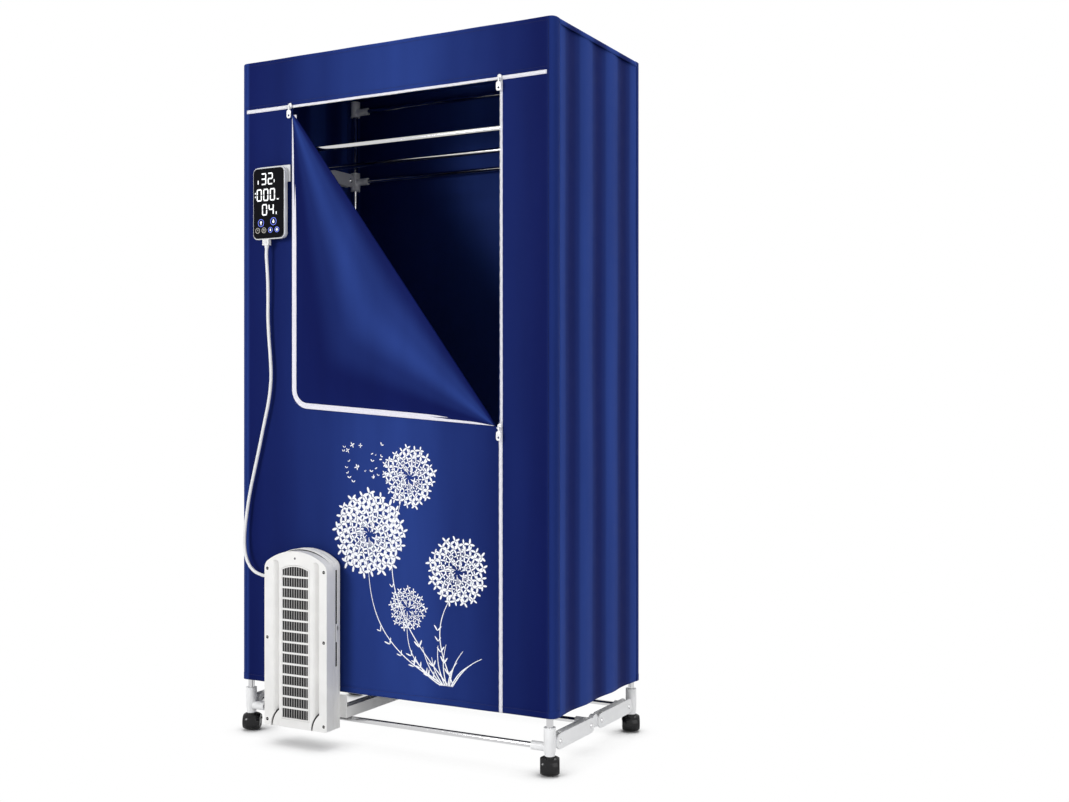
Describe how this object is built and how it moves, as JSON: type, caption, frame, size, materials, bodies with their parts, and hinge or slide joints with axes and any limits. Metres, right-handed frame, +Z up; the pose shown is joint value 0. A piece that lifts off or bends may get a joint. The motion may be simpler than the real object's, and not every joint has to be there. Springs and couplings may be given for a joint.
{
  "type": "drying cabinet",
  "caption": "Tall folding cloth drying cabinet on casters: chrome frame with hinged side arms, blue zipped cover, slim tower heater with grille in front and a wired controller.",
  "frame": {"origin": "middle of the footprint on the floor, with the frame open; the footprint runs from the heater at the front to the rear casters", "axes": "+X to the right seen from the front, +Y from the zipped front to the back, +Z up"},
  "size_m": [0.9216, 0.5695, 1.7],
  "materials": {
    "chrome_tube": "polished chrome plate on steel tube",
    "frame_plastic": "satin white moulded plastic with a fine grain",
    "blue_cloth": "royal blue satin-finished woven polyester",
    "white_tape": "white woven zip and binding tape",
    "black_plastic": "glossy black nylon",
    "slider_metal": "white lacquered die-cast metal",
    "white_plastic": "warm white moulded plastic, satin",
    "fan_plastic": "dark grey moulded plastic",
    "motor_metal": "plain metal",
    "silver_plastic": "silver-grey plastic",
    "gloss_black": "polished black display window",
    "cord_white": "white flexible cord sheath"
  },
  "bodies": {
    "rear_frame": {"rear_posts": "chrome_tube", "rear_feet": "frame_plastic", "rear_brackets": "frame_plastic", "rear_rails": "chrome_tube", "rear_pivot_pins": "chrome_tube", "back_panel": "blue_cloth", "side_panel_left": "blue_cloth", "side_panel_right": "blue_cloth", "roof_panel": "blue_cloth"},
    "lower_rear_arms": {"lower_rear_arms": "frame_plastic"},
    "mid_frame": {"lower_mid_blocks": "frame_plastic", "mid_crossbar": "chrome_tube", "lower_mid_pins": "chrome_tube", "upper_mid_blocks": "frame_plastic", "hanging_rail": "chrome_tube", "upper_mid_pins": "chrome_tube"},
    "lower_front_arms": {"lower_front_arms": "frame_plastic"},
    "front_frame": {"front_posts": "chrome_tube", "front_feet": "frame_plastic", "front_brackets": "frame_plastic", "front_rails": "chrome_tube", "front_pivot_pins": "chrome_tube", "front_panel": "blue_cloth", "door_flap": "blue_cloth", "flap_tape": "white_tape", "zip_tapes": "white_tape", "window_piping": "white_tape", "heater_cover": "white_plastic", "heater_grille": "white_plastic", "heater_back": "white_plastic", "fan_motor": "motor_metal", "heating_element": "motor_metal", "heater_bar": "white_plastic", "heater_hook": "white_plastic", "heater_screws": "black_plastic", "mains_inlet": "black_plastic", "controller_case": "silver_plastic", "controller_face": "gloss_black", "controller_hanger": "silver_plastic", "control_cord": "cord_white", "cord_plug": "white_plastic", "cord_gland": "white_plastic"},
    "upper_rear_arms": {"upper_rear_arms": "frame_plastic"},
    "upper_front_arms": {"upper_front_arms": "frame_plastic"},
    "swivel_front_left": {"caster_fork_front_left": "black_plastic"},
    "wheels_front_left": {"caster_wheels_front_left": "black_plastic"},
    "swivel_front_right": {"caster_fork_front_right": "black_plastic"},
    "wheels_front_right": {"caster_wheels_front_right": "black_plastic"},
    "swivel_rear_left": {"caster_fork_rear_left": "black_plastic"},
    "wheels_rear_left": {"caster_wheels_rear_left": "black_plastic"},
    "swivel_rear_right": {"caster_fork_rear_right": "black_plastic"},
    "wheels_rear_right": {"caster_wheels_rear_right": "black_plastic"},
    "slider_left": {"zip_slider_left": "slider_metal"},
    "pull_left": {"zip_pull_left": "white_plastic"},
    "slider_right": {"zip_slider_right": "slider_metal"},
    "pull_right": {"zip_pull_right": "white_plastic"},
    "slider_door": {"zip_slider_door": "slider_metal"},
    "pull_door": {"zip_pull_door": "white_plastic"},
    "fan": {"heater_fan": "fan_plastic"}
  },
  "joints": [
    {"name": "fold", "type": "hinge", "parent": "rear_frame", "child": "lower_rear_arms", "pos_m": [0, 0.21153, 0.073], "axis": [-1, 0, 0], "range_deg": [0, 88], "deforming": ["side_panel_left", "side_panel_right", "roof_panel"]},
    {"name": "mid_frame_turn", "type": "hinge", "parent": "lower_rear_arms", "child": "mid_frame", "pos_m": [0, 0.05233, 0.073], "axis": [-1, 0, 0], "range_deg": [-88, 0]},
    {"name": "lower_front_turn", "type": "hinge", "parent": "mid_frame", "child": "lower_front_arms", "pos_m": [0, -0.00567, 0.073], "axis": [-1, 0, 0], "range_deg": [-88, 0]},
    {"name": "front_frame_turn", "type": "hinge", "parent": "lower_front_arms", "child": "front_frame", "pos_m": [0, -0.16487, 0.073], "axis": [-1, 0, 0], "range_deg": [0, 88]},
    {"name": "upper_rear_turn", "type": "hinge", "parent": "rear_frame", "child": "upper_rear_arms", "pos_m": [0, 0.21153, 1.465], "axis": [-1, 0, 0], "range_deg": [0, 88]},
    {"name": "upper_front_turn", "type": "hinge", "parent": "mid_frame", "child": "upper_front_arms", "pos_m": [0, -0.00567, 1.465], "axis": [-1, 0, 0], "range_deg": [-88, 0]},
    {"name": "swivel_front_left", "type": "hinge", "parent": "front_frame", "child": "swivel_front_left", "pos_m": [-0.4301, -0.19887, 0.047], "axis": [0, 0, 1], "continuous": true},
    {"name": "wheel_spin_front_left", "type": "hinge", "parent": "swivel_front_left", "child": "wheels_front_left", "pos_m": [-0.43479, -0.19004, 0.0215], "axis": [0.8829, 0.4695, 0], "continuous": true},
    {"name": "swivel_front_right", "type": "hinge", "parent": "front_frame", "child": "swivel_front_right", "pos_m": [0.4301, -0.19887, 0.047], "axis": [0, 0, 1], "continuous": true},
    {"name": "wheel_spin_front_right", "type": "hinge", "parent": "swivel_front_right", "child": "wheels_front_right", "pos_m": [0.4254, -0.19004, 0.0215], "axis": [0.8829, 0.4695, 0], "continuous": true},
    {"name": "swivel_rear_left", "type": "hinge", "parent": "rear_frame", "child": "swivel_rear_left", "pos_m": [-0.4301, 0.24553, 0.047], "axis": [0, 0, 1], "continuous": true},
    {"name": "wheel_spin_rear_left", "type": "hinge", "parent": "swivel_rear_left", "child": "wheels_rear_left", "pos_m": [-0.43479, 0.25436, 0.0215], "axis": [0.8829, 0.4695, 0], "continuous": true},
    {"name": "swivel_rear_right", "type": "hinge", "parent": "rear_frame", "child": "swivel_rear_right", "pos_m": [0.4301, 0.24553, 0.047], "axis": [0, 0, 1], "continuous": true},
    {"name": "wheel_spin_rear_right", "type": "hinge", "parent": "swivel_rear_right", "child": "wheels_rear_right", "pos_m": [0.4254, 0.25436, 0.0215], "axis": [0.8829, 0.4695, 0], "continuous": true},
    {"name": "zip_left", "type": "slide", "parent": "front_frame", "child": "slider_left", "axis": [1, 0, 0], "range_m": [-0.12, 0.55]},
    {"name": "pull_swing_left", "type": "hinge", "parent": "slider_left", "child": "pull_left", "pos_m": [-0.2895, -0.22397, 1.573], "axis": [-1, 0, 0], "range_deg": [0, 150]},
    {"name": "zip_right", "type": "slide", "parent": "front_frame", "child": "slider_right", "axis": [1, 0, 0], "range_m": [-0.02, 0.11]},
    {"name": "pull_swing_right", "type": "hinge", "parent": "slider_right", "child": "pull_right", "pos_m": [0.312, -0.22397, 1.573], "axis": [-1, 0, 0], "range_deg": [0, 150]},
    {"name": "zip_door", "type": "slide", "parent": "front_frame", "child": "slider_door", "axis": [0, 0, 1], "range_m": [-0.62, 0.72]},
    {"name": "pull_swing_door", "type": "hinge", "parent": "slider_door", "child": "pull_door", "pos_m": [0.312, -0.22397, 0.78], "axis": [-1, 0, 0], "range_deg": [0, 150]},
    {"name": "fan_spin", "type": "hinge", "parent": "front_frame", "child": "fan", "pos_m": [-0.222, -0.25917, 0.248], "axis": [0, 0, 1], "continuous": true}
  ],
  "couplings": [
    {"joint": "mid_frame_turn", "follows": "fold", "ratio": -1},
    {"joint": "lower_front_turn", "follows": "fold", "ratio": -1},
    {"joint": "front_frame_turn", "follows": "fold", "ratio": 1},
    {"joint": "upper_rear_turn", "follows": "fold", "ratio": 1},
    {"joint": "upper_front_turn", "follows": "fold", "ratio": -1}
  ]
}
